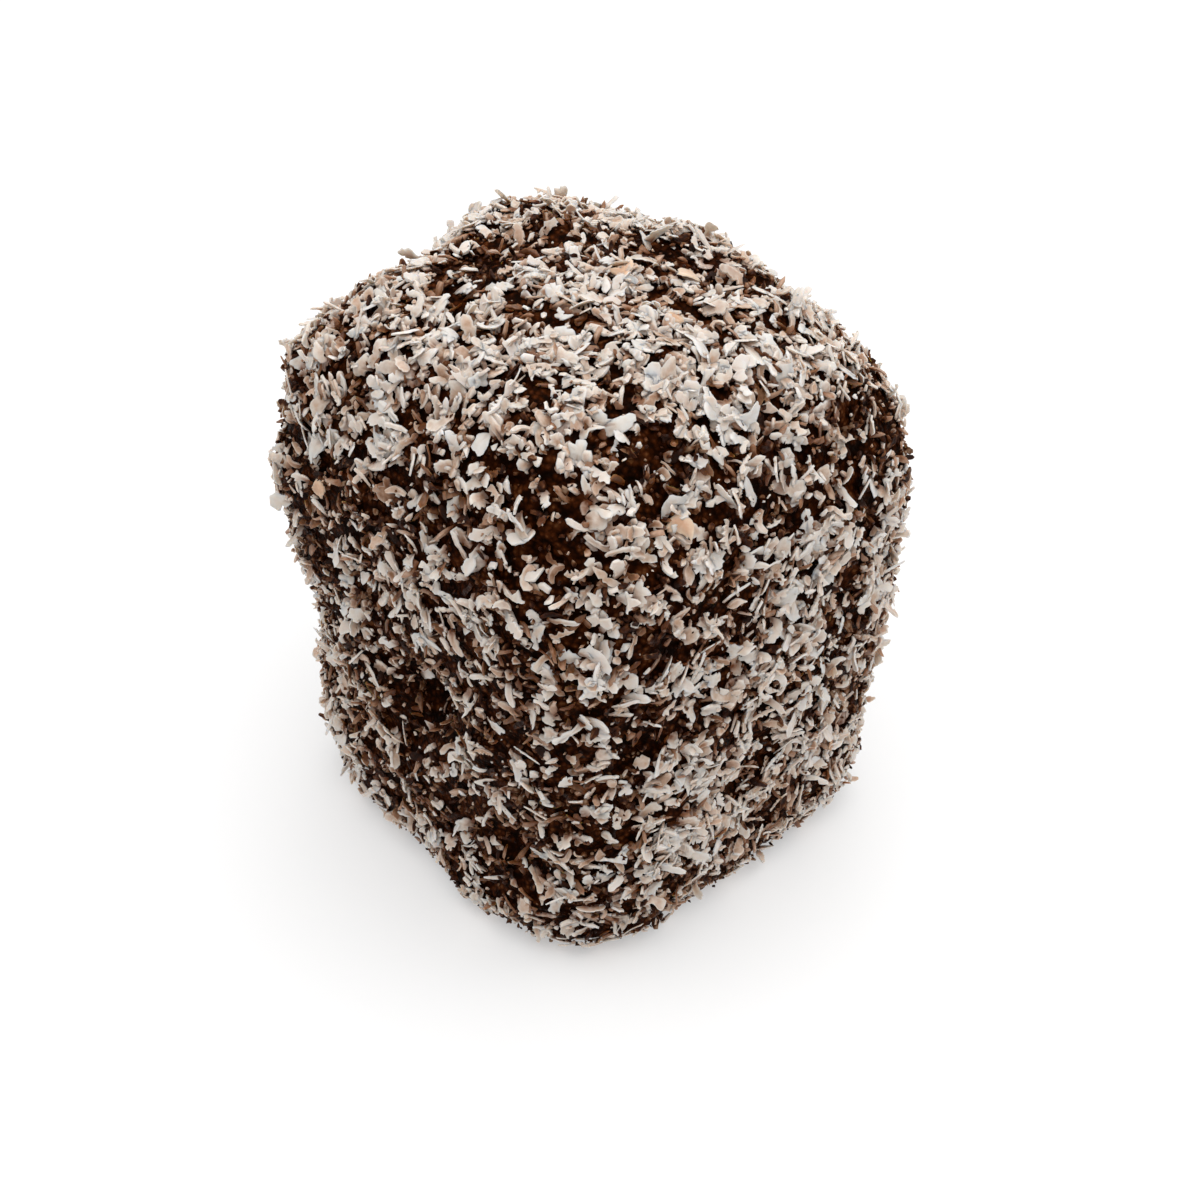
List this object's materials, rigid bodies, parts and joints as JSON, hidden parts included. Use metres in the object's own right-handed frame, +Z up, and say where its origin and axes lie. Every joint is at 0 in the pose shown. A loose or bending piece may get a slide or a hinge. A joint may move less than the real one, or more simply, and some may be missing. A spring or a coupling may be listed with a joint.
{
  "type": "lamington cake",
  "caption": "Single block-shaped lamington: sponge dipped in chocolate icing and rolled in shredded coconut, soft-edged, domed on top and flat underneath.",
  "frame": {"origin": "middle of the flat base, on the surface the cake stands on", "axes": "+Z up through the domed top, which is the longest side; +X across the wider pair of sides; +Y towards the back"},
  "size_m": [0.05, 0.047, 0.058],
  "materials": {
    "coconut": "dry shredded coconut, cream white, slightly waxy",
    "icing": "set chocolate icing soaked into crumb, dark brown, moist sheen"
  },
  "bodies": {
    "root": {"lamington": "coconut"}
  },
  "joints": []
}
